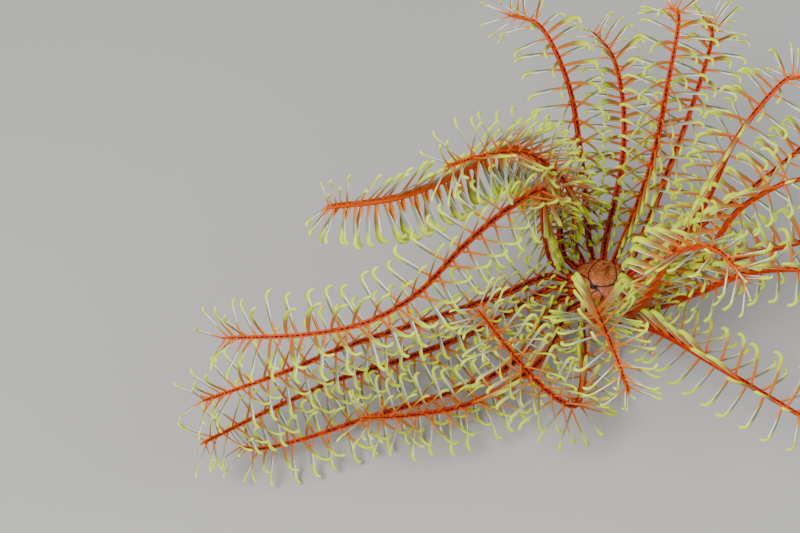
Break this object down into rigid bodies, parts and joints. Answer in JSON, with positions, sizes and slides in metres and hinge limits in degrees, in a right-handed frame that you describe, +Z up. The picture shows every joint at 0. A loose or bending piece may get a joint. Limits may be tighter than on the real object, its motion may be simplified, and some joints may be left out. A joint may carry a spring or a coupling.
{
  "type": "feather star",
  "caption": "Feather star standing on its jointed feet, with feathery hooked arms that arch out of a small grooved disc. Still model.",
  "frame": {"origin": "centre of the model's box on the floor that its feet rest on", "axes": "+Z up, -Y towards the picture's camera, -X along the longest arms"},
  "size_m": [0.2503, 0.1989, 0.1224],
  "materials": {
    "arm": "orange-red arm with pinnules that turn clear grey with white beads and end in yellow-green hooks",
    "ray": "orange-red skeletal plates",
    "cup": "dull orange-brown plate",
    "disc": "moist orange-brown skin with dark grooves",
    "cirrus": "yellow-orange jointed feet"
  },
  "bodies": {
    "root": {"anal_cone": "disc", "arm_01_inner": "arm", "arm_01_outer": "arm", "arm_02_inner": "arm", "arm_02_outer": "arm", "arm_03_inner": "arm", "arm_03_outer": "arm", "arm_04_inner": "arm", "arm_04_outer": "arm", "arm_05_inner": "arm", "arm_05_outer": "arm", "arm_06_inner": "arm", "arm_06_outer": "arm", "arm_07_inner": "arm", "arm_07_outer": "arm", "arm_08_inner": "arm", "arm_08_outer": "arm", "arm_09_inner": "arm", "arm_09_outer": "arm", "arm_10_inner": "arm", "arm_10_outer": "arm", "arm_11_inner": "arm", "arm_11_outer": "arm", "arm_12_inner": "arm", "arm_12_outer": "arm", "arm_13_inner": "arm", "arm_13_outer": "arm", "arm_14_inner": "arm", "arm_14_outer": "arm", "arm_15_inner": "arm", "arm_15_outer": "arm", "arm_16_inner": "arm", "arm_16_outer": "arm", "arm_17_inner": "arm", "arm_17_outer": "arm", "arm_18_inner": "arm", "arm_18_outer": "arm", "arm_19_inner": "arm", "arm_19_outer": "arm", "arm_20_inner": "arm", "arm_20_outer": "arm", "centrodorsal": "cup", "cirrus_01": "cirrus", "cirrus_02": "cirrus", "cirrus_03": "cirrus", "cirrus_04": "cirrus", "cirrus_05": "cirrus", "cirrus_06": "cirrus", "cirrus_07": "cirrus", "cirrus_08": "cirrus", "cirrus_09": "cirrus", "cirrus_10": "cirrus", "cirrus_11": "cirrus", "cirrus_12": "cirrus", "ray_1": "ray", "ray_2": "ray", "ray_3": "ray", "ray_4": "ray", "ray_5": "ray", "tegmen": "disc"}
  },
  "joints": []
}
